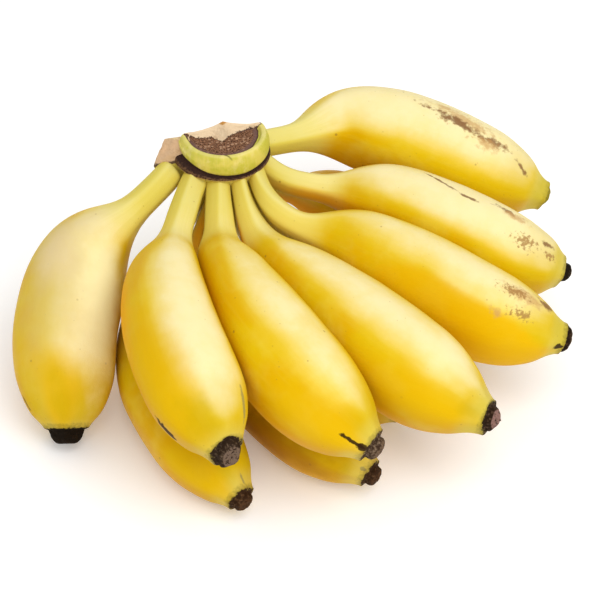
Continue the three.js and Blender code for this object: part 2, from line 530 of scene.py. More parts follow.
class TipKind(Enum):
    """How the ends of the fingers dried."""

    BLACK = Tip(
        length=4.6 * MM, width=0.92, rounding=3.4 * MM, dark=tone(22, 15, 12), light=tone(48, 34, 28),
        face=tone(30, 20, 16), light_share=0.2, green=0.2,
    )
    LOBED = Tip(
        length=3.4 * MM, width=0.86, rounding=1.8 * MM, crust=0.4 * MM, lobes=2, lobe_depth=0.14, curl=25.0,
        dark=tone(44, 31, 23), light=tone(112, 92, 74), face=tone(122, 100, 84),
    )
    CRUSTY = Tip(
        length=3.2 * MM, width=0.72, crust=0.4 * MM, curl=8.0, dark=tone(60, 43, 32),
        light=tone(146, 122, 98), face=tone(112, 90, 72), light_share=0.5,
    )
    SPIKED = Tip(
        length=2.4 * MM, width=0.76, spike=2.2 * MM, curl=20.0, dark=tone(40, 26, 18),
        light=tone(116, 88, 70), face=tone(150, 114, 104), green=0.55,
    )
    CRESCENT = Tip(
        length=2.2 * MM, width=0.92, crust=0.4 * MM, dark=tone(34, 22, 16), light=tone(84, 60, 40),
        light_share=0.25, green=0.7,
    )
    SMALL = Tip(
        length=3.6 * MM, width=0.66, dark=tone(28, 20, 16), light=tone(70, 54, 40), light_share=0.25,
        green=0.6,
    )
    PLAIN = Tip(length=2.6 * MM, width=0.7, dark=tone(58, 38, 24), light=tone(112, 82, 56), green=0.1)
    GREEN = Tip(
        length=1.2 * MM, width=0.8, crust=0.15 * MM, dark=tone(138, 122, 26), light=tone(170, 156, 50),
        face=tone(146, 130, 30), green=0.85,
    )
    RAGGED = Tip(
        length=2.8 * MM, width=0.74, crust=0.5 * MM, dark=tone(52, 32, 20), light=tone(112, 82, 56),
        face=tone(80, 54, 36), green=0.15,
    )


class PeelTexture:
    """What the layers of one finger's peel share: its places, and noise of several sizes."""

    def __init__(self, sheet: NodeSheet) -> None:
        """Reads the skin's attributes and makes the noise.

        Args:
            sheet: The nodes of the finger's material.
        """
        self.sheet = sheet
        self.places = sheet.places()
        self.rind = sheet.attribute("rind")
        self.swell, self.from_tip, self.from_crown = sheet.parts(sheet.attribute("course"))
        self.fibre = sheet.noise(sheet.stretched(self.rind, (9, 9, 1.1)), 1.0, 4, 0.6)
        self.cloud = sheet.noise(self.places, 34, 3)
        self.patches = sheet.noise(self.places, 75, 3, 0.55)
        self.blotch = sheet.noise(self.places, 150, 4, 0.6)
        self.crumb = sheet.noise(self.places, 900, 3, 0.65)
        self.pores = sheet.noise(self.places, 2600, 2)


@dataclass(frozen=True)
class PeelFinish:
    """The waxy, ripe skin of the fingers, with a painted highlight on one side and painted shade on the other.
    """

    ripe: Colour = tone(222, 187, 12)
    golden: Colour = tone(220, 171, 0)
    # Painted shade: the deeper gold laid on the sides turned from the light.
    shade_amber: Colour = tone(212, 150, 0)
    # Painted highlight: the pale yellows laid on the sides that face the light.
    highlight_straw: Colour = tone(230, 199, 62)
    highlight_cream: Colour = tone(242, 227, 170)
    lemon: Colour = tone(232, 216, 96)
    leafy: Colour = tone(232, 216, 120)
    green: Colour = tone(196, 188, 66)
    husk: Colour = tone(192, 172, 46)
    olive: Colour = tone(176, 148, 10)
    speck: Colour = tone(132, 92, 44)
    glaze: Colour = tone(255, 232, 150)
    # The direction that the painted highlight faces, and that the painted shade faces away from.
    painted_light_side: Triple = (0.3, -0.12, 0.95)
    mark_depth: float = 0.8

    def build(
        self, name: str, tip: Tip, marks: Sequence[Mark], reach: float, highlight_reach: float
    ) -> bpy.types.Material:
        """Makes one finger's material.

        Args:
            name: The material's name.
            tip: The finger's dry end.
            marks: Its marks.
            reach: The finger's fullest radius, in metres.
            highlight_reach: How much further down its sides the painted highlight comes than it does on other
                fingers.

        Returns:
            The material.
        """
        sheet = NodeSheet(name)
        peel = PeelTexture(sheet)
        colour = self.with_painted_highlight(peel, self.ripened(peel), highlight_reach)
        colour = self.greened(peel, colour, tip)
        specks = self.specks(peel)
        colour = sheet.mix(specks, colour, self.speck)
        marked: Wire | float = specks * 0.5
        # The marks are the peel's own blemishes and patches of painted highlight and painted shade.
        for mark in marks:
            stain_and_light = mark.kind.value
            share = self.mark(peel, mark, reach) * stain_and_light.strength
            colour = sheet.mix(share, colour, stain_and_light.colour)
            marked = share.larger(marked)
        colour, dry = self.dried(peel, colour, tip)
        normal = sheet.raised(peel.fibre * 0.3 + peel.blotch * 0.7, 0.2 * MM)
        normal = sheet.raised(peel.pores, 0.05 * MM, normal)
        normal = sheet.raised(peel.crumb * dry, 0.7 * MM, normal)
        return sheet.finish(
            Base_Color=colour,
            Roughness=(peel.blotch * 0.1 + marked * 0.2 + 0.4).larger(dry * 0.85),
            Normal=normal,
            Specular_IOR_Level=0.1,
            Specular_Tint=self.glaze,
            Subsurface_Weight=0.05,
            Subsurface_Radius=(1.0, 0.75, 0.2),
            Subsurface_Scale=1.5 * MM,
        )

    def ripened(self, peel: PeelTexture) -> Wire:
        """The ripe colour: yellow to golden clouds, painted shade of deeper gold away from the light, lemon
        patches.

        Args:
            peel: The peel's texture.

        Returns:
            The colour.
        """
        sheet = peel.sheet
        colour = sheet.mix(peel.cloud.rise(0.35, 0.65), self.ripe, self.golden)
        # Painted shade: the sides turned from the light go deeper gold.
        colour = sheet.mix(sheet.toward(self.painted_light_side).fade(-0.5, 0.4, 0.8), colour, self.shade_amber)
        lemon = peel.patches.rise(0.45, 0.7) * 0.22 + peel.fibre.rise(0.45, 0.75) * 0.06
        return sheet.mix(lemon, colour, self.lemon)

    def with_painted_highlight(self, peel: PeelTexture, colour: Wire, highlight_reach: float) -> Wire:
        """The colour with a painted highlight, pale yellow, over the sides that face the light.

        Args:
            peel: The peel's texture.
            colour: The colour beneath.
            highlight_reach: How much further down the sides the painted highlight comes.

        Returns:
            The colour.
        """
        sheet = peel.sheet
        # Painted highlight: paler the more the surface faces the light, mottled by noise.
        facing = sheet.toward(self.painted_light_side) + (peel.cloud - 0.5) * 0.3 + (peel.fibre - 0.5) * 0.05
        highlight_mottle = peel.blotch.rise(0.35, 0.7) * 0.12 + peel.patches.rise(0.35, 0.6) * 0.04
        highlight = facing.rise(0.55 - highlight_reach, 1.12 - highlight_reach) * (highlight_mottle + 0.84)
        colour = sheet.mix(highlight.rise(0.0, 0.5), colour, self.highlight_straw)
        return sheet.mix(highlight.rise(0.2, 1.0), colour, self.highlight_cream)

    def greened(self, peel: PeelTexture, colour: Wire, tip: Tip) -> Wire:
        """The colour with the green of the stalk and of the end over it, strongest beside crown and tip.

        Args:
            peel: The peel's texture.
            colour: The colour beneath.
            tip: The finger's dry end.

        Returns:
            The colour.
        """
        sheet = peel.sheet
        stalk = (peel.swell + (peel.fibre - 0.5) * 0.12).fade(0.34, 0.62)
        colour = sheet.mix(stalk * 0.6, colour, self.leafy)
        collar = (peel.from_crown + (peel.fibre - 0.5) * 14 * MM).fade(2 * MM, 26 * MM)
        colour = sheet.mix(collar * 0.35, colour, self.green)
        end = (peel.from_tip + (peel.cloud - 0.5) * 16 * MM).fade(8 * MM, 26 * MM)
        colour = sheet.mix(end * 0.3, colour, self.olive)
        lip = (peel.from_tip + (peel.blotch - 0.5) * 6 * MM).fade(tip.length + 3 * MM, tip.length + 9 * MM)
        return sheet.mix(lip * tip.green, colour, self.husk)

    def dried(self, peel: PeelTexture, colour: Wire, tip: Tip) -> tuple[Wire, Wire]:
        """Adds the dry end.

        Args:
            peel: The peel's texture.
            colour: The colour of the skin.
            tip: The finger's dry end.

        Returns:
            The colour, and where the skin is dry.
        """
        sheet = peel.sheet
        edge = (peel.crumb - 0.5) * 1.6 * MM
        dry = (peel.from_tip + edge).fade(tip.length - 0.1 * MM, tip.length + 0.25 * MM)
        scorch = (peel.from_tip + edge * 2.0).fade(tip.length, tip.length + 2.2 * MM)
        crust = sheet.mix(peel.crumb.rise(0.62 - tip.light_share * 0.4, 0.8), tip.dark, tip.light)
        face = (peel.from_tip + edge * 0.15).fade(0.1 * MM, 0.4 * MM, 0.8) * peel.crumb.rise(0.35, 0.5)
        crust = sheet.mix(face, crust, tip.face)
        colour = sheet.mix(scorch * 0.45, colour, tip.dark)
        return sheet.mix(dry, colour, crust), dry

    def specks(self, peel: PeelTexture) -> Wire:
        """Tiny brown flecks of two sizes, the larger ones sparse.

        Args:
            peel: The peel's texture.

        Returns:
            How strongly they show, 0 to 1.
        """
        distance, own = peel.sheet.cells(peel.places, 210)
        sparse = (own.rise(0.55, 1.0) * 0.13 - distance).rise(0.0, 0.05) * 0.5
        distance, own = peel.sheet.cells(peel.places, 430)
        fine = (own.rise(0.3, 1.0) * 0.14 - distance).rise(0.0, 0.08) * 0.3
        return sparse.larger(fine)

    def mark(self, peel: PeelTexture, mark: Mark, reach: float) -> Wire:
        """How strongly a mark shows, 0 to 1.

        Args:
            peel: The peel's texture, whose rind is an even cylinder of radius 1.
            mark: The mark.
            reach: The length that 1 stands for along that cylinder.

        Returns:
            The share.
        """
        stain_and_light = mark.kind.value
        angle = math.radians(mark.turn)
        middle = (math.cos(angle), math.sin(angle), mark.from_tip * MM / reach)
        turn = (math.radians(mark.lean), 0.0, angle)
        half = (self.mark_depth, mark.width * MM / reach / 2, mark.length * MM / reach / 2)
        ragged = (peel.sheet.noise(peel.places, stain_and_light.grain, 3, 0.6) - 0.5) * (2 * stain_and_light.ragged)
        return (peel.sheet.from_middle(peel.rind, middle, turn, half) + ragged).fade(1 - stain_and_light.softness, 1.0)


class StumpTexture:
    """What the layers of the stump's material share: its zones, and noise of several sizes."""

    def __init__(self, sheet: NodeSheet) -> None:
        """Reads the stump's attributes and makes the noise.

        Args:
            sheet: The nodes of the stump's material.
        """
        self.sheet = sheet
        self.places = sheet.places()
        self.height, self.inward, self.flesh_side = sheet.parts(sheet.attribute("zone"))
        around = sheet.stretched(sheet.attribute("bark"), (22, 22, 90))
        self.grain = sheet.noise(around, 1.0, 3, 0.6)
        self.cloud = sheet.noise(self.places, 150, 3, 0.6)
        self.ground = sheet.noise(self.places, 260, 4, 0.6)
        self.crumb = sheet.noise(self.places, 1300, 3, 0.65)
        self.edge = (self.crumb - 0.5) * 0.8 * MM


@dataclass(frozen=True)
class CrownFinish:
    """The crown's skin, its bract scar and its dry cut."""

    skin: Colour = tone(218, 203, 92)
    skin_green: Colour = tone(196, 190, 66)
    skin_pale: Colour = tone(238, 220, 152)
    scar: Colour = tone(112, 80, 54)
    scar_dark: Colour = tone(44, 20, 12)
    scar_line: Colour = tone(206, 178, 100)
    pith: Colour = tone(146, 102, 72)
    pith_dark: Colour = tone(54, 28, 16)
    pith_light: Colour = tone(190, 150, 118)
    pith_grey: Colour = tone(112, 84, 78)
    flesh: Colour = tone(240, 212, 174)
    flesh_dark: Colour = tone(214, 174, 132)
    peak: Colour = tone(194, 130, 36)
    crack: Colour = tone(106, 92, 20)
    beige: Colour = tone(206, 170, 130)
    beige_dark: Colour = tone(150, 112, 76)
    crack_width: float = 1.1 * MM
    crack_depth: float = 2.4 * MM
    # Heights where the stump's paint changes, each with the blur over which it does.
    scar_foot: Pair = (60.7 * MM, 0.2 * MM)
    scar_line_top: Pair = (61.475 * MM, 0.25 * MM)
    scar_groove: Pair = (62.0 * MM, 0.2 * MM)
    scar_top: Pair = (62.7 * MM, 0.2 * MM)
    lower_lip: Pair = (63.1 * MM, 0.6 * MM)
    upper_lip: Pair = (69.6 * MM, 0.6 * MM)
    brown_peak: Pair = (72.15 * MM, 0.5 * MM)

    def stump(self, name: str, cracks: Sequence[tuple[Vector, Vector]]) -> bpy.types.Material:
        """The material of the stump.

        Args:
            name: The material's name.
            cracks: Where each crack in the skin starts and ends.

        Returns:
            The material: zones by height on the side, and by the cut's outline on top.
        """
        sheet = NodeSheet(name)
        bark = StumpTexture(sheet)
        skin = self.skin_colour(bark)
        for start, end in cracks:
            skin = sheet.mix(self.crack_share(bark, start, end), skin, self.crack)
        ring = self.ring_share(bark)
        colour = sheet.mix(ring, skin, self.ring(bark))
        cutting = (bark.inward + bark.edge * 0.6).rise(0.95 * MM, 1.15 * MM)
        colour = sheet.mix(cutting, colour, self.cut(bark))
        normal = sheet.raised(bark.grain, 0.25 * MM)
        normal = sheet.raised(bark.crumb * cutting, 0.45 * MM, normal)
        normal = sheet.raised(bark.crumb * ring, 0.4 * MM, normal)
        roughness = (cutting * 0.35 + 0.5).larger(ring * 0.8)
        return sheet.finish(Base_Color=colour, Roughness=roughness, Normal=normal, Specular_IOR_Level=0.25)

    def skin_colour(self, bark: StumpTexture) -> Wire:
        """The band of yellow-green skin, with pale blotches and paler lips above and below.

        Args:
            bark: The stump's texture.

        Returns:
            The colour.
        """
        sheet = bark.sheet
        skin = sheet.mix(bark.cloud.rise(0.4, 0.62), self.skin, self.skin_green)
        pale = bark.ground.rise(0.5, 0.72) * 0.4 + bark.grain.rise(0.5, 0.8) * 0.2
        skin = sheet.mix(pale, skin, self.skin_pale)
        level = bark.height + bark.edge * 0.3
        lips = level.below(self.lower_lip).larger(level.above(self.upper_lip))
        return sheet.mix(lips * 0.3, skin, self.skin_pale)

    def ring_share(self, bark: StumpTexture) -> Wire:
        """Where the bract scar is."""
        level = bark.height + bark.edge * 0.5
        return level.above(self.scar_foot) * level.below(self.scar_top)

    def ring(self, bark: StumpTexture) -> Wire:
        """The bract scar's colours: a tan line below, the brown ledge and the dark groove over it.

        Args:
            bark: The stump's texture.

        Returns:
            The colour.
        """
        sheet = bark.sheet
        colour = sheet.mix(bark.crumb.rise(0.4, 0.7), self.scar, self.scar_dark)
        groove = (bark.height + bark.edge * 0.5).above(self.scar_groove)
        colour = sheet.mix(groove * 0.92, colour, self.scar_dark)
        line = (bark.height + bark.edge * 0.6).below(self.scar_line_top)
        return sheet.mix(line * 0.9, colour, self.scar_line)

    def crack_share(self, bark: StumpTexture, start: Vector, end: Vector) -> Wire:
        """How strongly a thin crack between two points shows.

        Args:
            bark: The stump's texture.
            start: One end.
            end: The other.

        Returns:
            The share, 0 to 1.
        """
        along = end - start
        turn = along.to_track_quat("X", "Z").to_euler()
        half = (along.length / 2, self.crack_width / 2, self.crack_depth / 2)
        return bark.sheet.from_middle(bark.places, (start + end) / 2, turn, half).fade(0.5, 1.0, 0.9)

    def cut(self, bark: StumpTexture) -> Wire:
        """The dry cut: spongy brown pith with a dark rim, and torn pale flesh with a browned peak.

        Args:
            bark: The stump's texture.

        Returns:
            The colour.
        """
        sheet = bark.sheet
        holes, own = sheet.cells(bark.places, 760)
        grit = sheet.noise(bark.places, 2100, 2, 0.7)
        pith = sheet.mix(grit.rise(0.4, 0.56), self.pith_dark, self.pith)
        pith = sheet.mix(own.rise(0.4, 0.7) * holes.fade(0.2, 0.5, 0.9), pith, self.pith_light)
        pith = sheet.mix((grit + bark.crumb * 0.5).rise(0.68, 0.6) * 0.8, pith, self.pith_dark)
        smooth = (bark.inward + (bark.ground - 0.5) * 2 * MM).fade(2.2 * MM, 3.6 * MM)
        pith = sheet.mix(smooth * 0.75, pith, self.pith_grey)
        rim = (bark.inward + (bark.crumb - 0.5) * 0.6 * MM).fade(1.1 * MM, 1.9 * MM)
        pith = sheet.mix(rim * 0.8, pith, self.pith_dark)
        jagged = bark.flesh_side + (bark.crumb - 0.5) * 1.8 * MM
        pith = sheet.mix(jagged.rise(-0.7 * MM, -0.2 * MM) * 0.7, pith, self.pith_dark)
        flesh = sheet.mix(bark.ground.rise(0.45, 0.75), self.flesh, self.flesh_dark)
        cut = sheet.mix(jagged.rise(-0.15 * MM, 0.15 * MM), pith, flesh)
        crest = (bark.height + (bark.ground - 0.5) * 2.2 * MM).above(self.brown_peak)
        return sheet.mix(crest * 0.9, cut, self.peak)

    def wing(self, name: str) -> bpy.types.Material:
        """The material of the wing: dry, wrinkled beige flesh with a dark lower edge.

        Args:
            name: The material's name.

        Returns:
            The material.
        """
        sheet = NodeSheet(name)
        places = sheet.places()
        above = sheet.parts(sheet.attribute("zone"))[0]
        cloud = sheet.noise(places, 220, 4, 0.6)
        crumb = sheet.noise(places, 1300, 3, 0.65)
        wrinkle = sheet.noise(sheet.stretched(places, (1.0, 1.0, 2.6)), 420, 4, 0.6)
        colour = sheet.mix(cloud.rise(0.4, 0.7), self.beige, self.flesh_dark)
        colour = sheet.mix(wrinkle.rise(0.55, 0.75) * 0.5, colour, self.beige_dark)
        level = sheet.toward((0, 0, 1)) + (crumb - 0.5) * 0.3
        colour = sheet.mix(level.rise(0.85, 1.0) * 0.5, colour, self.skin_pale)
        jagged = above + (crumb - 0.5) * 1.6 * MM
        colour = sheet.mix(jagged.fade(-0.7 * MM, -0.3 * MM), colour, self.skin)
        rim = jagged.rise(-0.7 * MM, -0.3 * MM) * jagged.fade(0.3 * MM, 0.8 * MM)
        colour = sheet.mix(rim * 0.85, colour, self.scar_dark)
        normal = sheet.raised(crumb, 0.15 * MM, sheet.raised(wrinkle, 0.6 * MM))
        return sheet.finish(Base_Color=colour, Roughness=cloud * 0.2 + 0.62, Normal=normal)


@dataclass(frozen=True)
class FloorFinish:
    """A matt white sheet, faintly lit through from below."""

    white: Colour = (0.96, 0.96, 0.96, 1.0)
    shade: Colour = (0.94, 0.94, 0.94, 1.0)
    glow: float = 0.16

    def build(self) -> bpy.types.Material:
        """Makes the floor's material, with a faint tooth.

        Returns:
            The material.
        """
        sheet = NodeSheet("white_paper")
        places = sheet.places()
        return sheet.finish(
            Base_Color=sheet.mix(sheet.noise(places, 4, 2), self.white, self.shade),
            Roughness=0.9,
            Normal=sheet.raised(sheet.noise(places, 900, 2), 0.02 * MM),
            Specular_IOR_Level=0.1,
            Emission_Color=self.white,
            Emission_Strength=self.glow,
        )


# ---------------------------------------------------------------- fingers
@dataclass
class Sections:
    """A finger's skin sections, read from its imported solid: rings of points from the crown to the tip."""

    rings: np.ndarray
    into_crown: np.ndarray

    @classmethod
    def read(cls, node: str, hub: Vector, sides: int = 20) -> "Sections":
        """Walks the solid from its tip, ring by ring, as far as the crown's cut left them whole.

        Args:
            node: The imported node.
            hub: The middle of the crown.
            sides: Points on each ring.

        Returns:
            The rings, and the middle of the end that meets the crown.
        """
        solid = bmesh.new()
        solid.from_mesh(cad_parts[node].data)
        bmesh.ops.remove_doubles(solid, verts=solid.verts, dist=SOLID_WELD)
        solid.verts.index_update()
        ends = [vertex for vertex in solid.verts if len(vertex.link_edges) == sides]
        tip = max(ends, key=lambda vertex: (vertex.co - hub).length)
        seen = {tip}
        loop = [edge.other_vert(tip) for edge in tip.link_edges]
        rings = []
        while len(loop) == sides:
            order = cls.walk(loop)
            if len(order) < sides:
                break
            ring = np.array([vertex.co for vertex in order])
            rings.append(cls.turned(ring, rings[-1]) if rings else ring)
            seen.update(loop)
            loop = list({edge.other_vert(vertex) for vertex in loop for edge in vertex.link_edges} - seen)
        rings = np.array(rings[::-1])
        root = np.mean([vertex.co for vertex in loop], axis=0)
        solid.free()
        return cls(cls.from_the_top(rings), root)

    @staticmethod
    def walk(loop: Sequence[bmesh.types.BMVert]) -> list[bmesh.types.BMVert]:
        """The points of a ring in order round it, or fewer if it isn't a whole ring.

        Args:
            loop: The points in any order.

        Returns:
            The points, each beside the next.
        """
        members = set(loop)
        order = [min(loop, key=lambda vertex: vertex.index)]
        while len(order) < len(loop):
            beside = {edge.other_vert(order[-1]) for edge in order[-1].link_edges}
            beside = (beside & members) - set(order)
            if not beside or (len(beside) > 1 and len(order) > 1):
                break
            order.append(min(beside, key=lambda vertex: vertex.index))
        return order

    @staticmethod
    def turned(ring: np.ndarray, before: np.ndarray) -> np.ndarray:
        """A ring started at the point, and run the way round, that match the ring before it."""
        choices = [np.roll(ring[::way], start, axis=0) for way in (1, -1) for start in range(len(ring))]
        return min(choices, key=lambda choice: np.linalg.norm(choice - before))

    @staticmethod
    def from_the_top(rings: np.ndarray) -> np.ndarray:
        """The rings, each started at its top and run towards the right as seen from the crown.

        Args:
            rings: The rings, all started alike.

        Returns:
            The rings, from crown to tip.
        """
        last = rings[-1] - rings[-1].mean(axis=0)
        ahead = rings[-1].mean(axis=0) - rings[-2].mean(axis=0)
        right = np.cross(ahead, (0, 0, 1))
        top = np.cross(right, ahead)
        start = int(np.argmax(last @ top))
        rings = np.roll(rings, -start, axis=1)
        quarter = rings.shape[1] // 4
        if (rings[-1, quarter] - rings[-1].mean(axis=0)) @ right < 0:
            rings = np.roll(rings[:, ::-1], 1, axis=1)
        return rings


# The dry end. Its lip and groove: how wide the skin is at so many millimetres past where it dries.
LIP: Curve = ((-1.6, 1), (-0.6, 1.02), (-0.15, 1.035), (0.15, 0.99), (0.4, 0.93), (0.9, 0.97), (2.5, 1))
# Its rows there, as millimetres past the same place, so that the lip stays crisp.
LIP_ROWS = (-0.8, -0.45, -0.15, 0.1, 0.35, 0.65)
# How wide it is at its end, by the distance from the end as a share of the tip's rounding.
END_ROUNDING: Curve = ((0, 0.72), (0.25, 0.88), (0.6, 0.97), (1, 1))
# The rings of its end face: the size of each as a share, and how far it stands out, in millimetres.
FACE_RINGS: Curve = ((0.9, 0.25), (0.74, 0.45), (0.55, 0.4), (0.36, 0.1), (0.18, -0.25), (0.0, -0.3))


@dataclass
class Finger:
    """One finger: a stalk, a ridged body and a dry tip in one skin."""

    node: str
    ending: TipKind
    marks: tuple[Mark, ...] = ()
    # How much further down the sides this finger's painted highlight comes.
    highlight_reach: float = 0.0
    row_step: float = 1.7 * MM
    columns: int = 60
    ridges: int = 5
    ridge_rise: float = 0.006
    stalk_ridge_rise: float = 0.035
    root_length: float = 10 * MM
    root_width: float = 0.92
    lump_size: float = 22 * MM
    unevenness: float = 0.22 * MM
    crust_grain: float = 1.6 * MM
    relaxing: int = 24

    def build(self, hub: Vector, finish: PeelFinish) -> bpy.types.Object:
        """Makes the finger.

        Args:
            hub: The middle of the crown.
            finish: The peel's finish.

        Returns:
            The piece, dressed and tied to the frame.
        """
        rings = self.with_root(Sections.read(self.node, hub))
        steps = np.linalg.norm(np.diff(rings.mean(axis=1), axis=0), axis=1)
        along = np.concatenate([[0], np.cumsum(steps)])
        length = along[-1]
        stations = self.stations(length)
        turns = np.arange(self.columns) / self.columns
        skin = self.relaxed(self.resample(along, rings, stations, turns), stations, length)
        centre = middle_of(skin)
        spread = np.linalg.norm(skin - centre, axis=2).mean(axis=1)
        reach = float(spread.max())
        swell = spread / reach
        from_tip = length - stations
        skin = centre + (skin - centre) * self.ridging(swell, turns)[..., None]
        outward = (skin - centre) / np.linalg.norm(skin - centre, axis=2, keepdims=True)
        # The unevenness dies out at the tip, and is weaker on the stalk.
        lumps = rough(skin, self.lump_size) * np.minimum(1, from_tip / (12 * MM))[:, None]
        lumps *= self.unevenness * np.clip(swell * 1.5, 0.4, 1)[:, None]
        skin, from_tip = self.dry_end(skin + outward * lumps[..., None], from_tip)
        skin[..., 2] = np.maximum(skin[..., 2], 0)  # nothing goes through the floor
        attributes = self.attributes(swell, from_tip, stations - self.root_length, turns, reach)
        piece = wrapped_skin(self.node + "_skin", skin, attributes)
        material = finish.build(self.node + "_peel", self.tip, self.marks, reach, self.highlight_reach)
        mount(piece, material, self.node)
        return piece

    @property
    def tip(self) -> Tip:
        """The finger's dry end."""
        return self.ending.value

    def with_root(self, sections: Sections) -> np.ndarray:
        """The rings with one more, where the stalk has grown into the crown.

        Args:
            sections: The finger's sections.

        Returns:
            The rings, from the root.
        """
        first = sections.rings[0]
        middle = first.mean(axis=0)
        inward = sections.into_crown - middle
        inward = inward / np.linalg.norm(inward)
        root = middle + (first - middle) * self.root_width + inward * self.root_length
        return np.concatenate([root[None], sections.rings])

    def stations(self, length: float) -> np.ndarray:
        """Where the skin's rows are, as distances from the root: close together at the dry end.

        Args:
            length: The skin's whole length.

        Returns:
            The distances.
        """
        # Even rows as far as the lip, the lip's own rows, then rows about 0.4 mm apart to the end.
        tip = self.tip.length
        body = length - tip - 1.2 * MM
        rows = np.linspace(0, body, round(body / self.row_step) + 1)
        edge = length - tip + np.array(LIP_ROWS) * MM
        count = max(3, round((tip - 1.0 * MM) / (0.4 * MM)))
        cap = np.linspace(length - tip + 1.0 * MM, length, count) if tip > 1.5 * MM else np.array([length])
        return np.concatenate([rows, edge[edge < length - 0.1 * MM], cap])

    @staticmethod
    def resample(along: np.ndarray, rings: np.ndarray, stations: np.ndarray, turns: np.ndarray) -> np.ndarray:
        """The skin between the rings.

        Args:
            along: Where the rings are.
            rings: The rings.
            stations: Where rows are wanted.
            turns: Where points are wanted on each row, as shares of a turn.

        Returns:
            Rows by points by 3.
        """
        sides = rings.shape[1]
        wrapped = np.concatenate([rings[:, -3:], rings, rings[:, :3]], axis=1)
        knots = np.arange(-3, sides + 3, dtype=float)
        fine = smooth_through(knots, wrapped.swapaxes(0, 1), turns * sides).swapaxes(0, 1)
        return smooth_through(along, fine, stations)

    def relaxed(self, skin: np.ndarray, stations: np.ndarray, length: float) -> np.ndarray:
        """The skin with the folds of its shoulder smoothed out, the root and the dry end as they were.

        Args:
            skin: Rows by columns by 3.
            stations: How far each row is from the root.
            length: How far the tip is from the root.

        Returns:
            The smoothed skin.
        """
        ease = smoothstep(4 * MM, 12 * MM, stations) * smoothstep(8 * MM, 16 * MM, length - stations)
        ease = ease[1:-1, None, None] * 0.5
        for _ in range(self.relaxing):
            rows = (skin[:-2] + skin[2:]) / 2
            columns = (np.roll(skin, 1, axis=1) + np.roll(skin, -1, axis=1))[1:-1] / 2
            skin[1:-1] += ((rows + columns) / 2 - skin[1:-1]) * ease
        return skin

    def ridging(self, swell: np.ndarray, turns: np.ndarray) -> np.ndarray:
        """How far each point stands out for the long ridges: more on the stalk than on the belly.

        Args:
            swell: Each row's radius as a share of the fullest.
            turns: Each column's share of a turn from the top.

        Returns:
            What each point's distance from the middle is multiplied by.
        """
        angle = 2 * math.pi * self.ridges * turns
        crest = np.cos(angle) + 0.25 * np.cos(2 * angle)
        rise = np.interp(swell, [0.3, 1.0], [self.stalk_ridge_rise, self.ridge_rise])
        return 1 + rise[:, None] * crest[None, :]

    def dry_end(self, skin: np.ndarray, from_tip: np.ndarray) -> tuple[np.ndarray, np.ndarray]:
        """Shapes the dry end: the skin's lip, a groove, the crusty stub and its sunken face.

        Args:
            skin: The skin, its last row at the finger's end.
            from_tip: How far each row is from the end.

        Returns:
            The skin with the rows of the end face added, and each row's distance from the end.
        """
        tip = self.tip
        # The lip and the groove, then the stub at its own width, with its lobes and its rounded end.
        beyond = tip.length - from_tip
        width = between(LIP, beyond / MM) * np.interp(beyond, [0, 0.4 * MM], [1, tip.width])
        turns = np.arange(skin.shape[1]) / skin.shape[1]
        lobed = 1 + tip.lobe_depth * np.cos(2 * math.pi * tip.lobes * turns)
        shape = np.where((beyond > 0)[:, None], width[:, None] * lobed, width[:, None])
        shape = shape * between(END_ROUNDING, from_tip / tip.rounding)[:, None]
        centre = middle_of(skin)
        skin = self.curled(centre + (skin - centre) * shape[..., None], from_tip)
        centre = middle_of(skin)
        ahead = (centre[-1] - centre[-2]) / np.linalg.norm(centre[-1] - centre[-2])
        face = []
        for share, rise in FACE_RINGS:
            lift = rise * MM + tip.spike * (1 - share) ** 2
            face.append(centre[-1] + (skin[-1] - centre[-1]) * share + ahead * lift)
        skin = np.concatenate([skin, np.array(face)])
        from_tip = np.concatenate([from_tip, np.zeros(len(face))])
        # A crumbly crust on all that is dry.
        away = skin - middle_of(skin) + ahead * 0.6 * MM
        away = away / (np.linalg.norm(away, axis=2, keepdims=True) + 1e-9)
        crust = rough(skin, self.crust_grain) * tip.crust
        crust = crust * smoothstep(0.2 * MM, 0.8 * MM, tip.length - from_tip)[:, None]
        return skin + away * crust[..., None], from_tip

    def curled(self, skin: np.ndarray, from_tip: np.ndarray) -> np.ndarray:
        """The skin with its last few millimetres bent upwards by the tip's curl.

        Args:
            skin: Rows by columns by 3.
            from_tip: How far each row is from the end.

        Returns:
            The bent skin.
        """
        middles = skin.mean(axis=1)
        dried = smoothstep(self.tip.length + 3 * MM, self.tip.length - 1 * MM, from_tip)
        bend = math.radians(self.tip.curl) * dried
        across = Vector(middles[-1] - middles[-2]).cross(Vector((0, 0, 1))).normalized()
        bent = skin.copy()
        place = middles[0]
        for row in range(1, len(skin)):
            turn = np.array(Matrix.Rotation(bend[row], 3, across))
            place = place + turn @ (middles[row] - middles[row - 1])
            bent[row] = place + (skin[row] - middles[row]) @ turn.T
        return bent

    def attributes(
        self, swell: np.ndarray, from_tip: np.ndarray, from_crown: np.ndarray, turns: np.ndarray, reach: float
    ) -> dict[str, np.ndarray]:
        """What the peel's material reads at each point.

        Args:
            swell: Each row's radius as a share of the fullest.
            from_tip: Each row's distance from the end, the end face's rows included.
            from_crown: Each row's distance from the crown.
            turns: Each column's share of a turn from the top.
            reach: The fullest radius.

        Returns:
            The vectors: rind, on an even cylinder, and course, along the finger.
        """
        face_rows = (0, len(from_tip) - len(swell))
        swell = np.pad(swell, face_rows, mode="edge")[:, None]
        from_crown = np.pad(from_crown, face_rows, mode="edge")[:, None]
        from_tip = from_tip[:, None]
        angle = 2 * math.pi * turns[None, :]
        vectors = {
            "rind": (np.cos(angle), np.sin(angle), from_tip / reach),
            "course": (swell, from_tip, from_crown),
        }
        shape = (len(from_tip), len(turns))
        return {
            name: np.stack([np.broadcast_to(side, shape) for side in sides], axis=-1)
            for name, sides in vectors.items()
        }


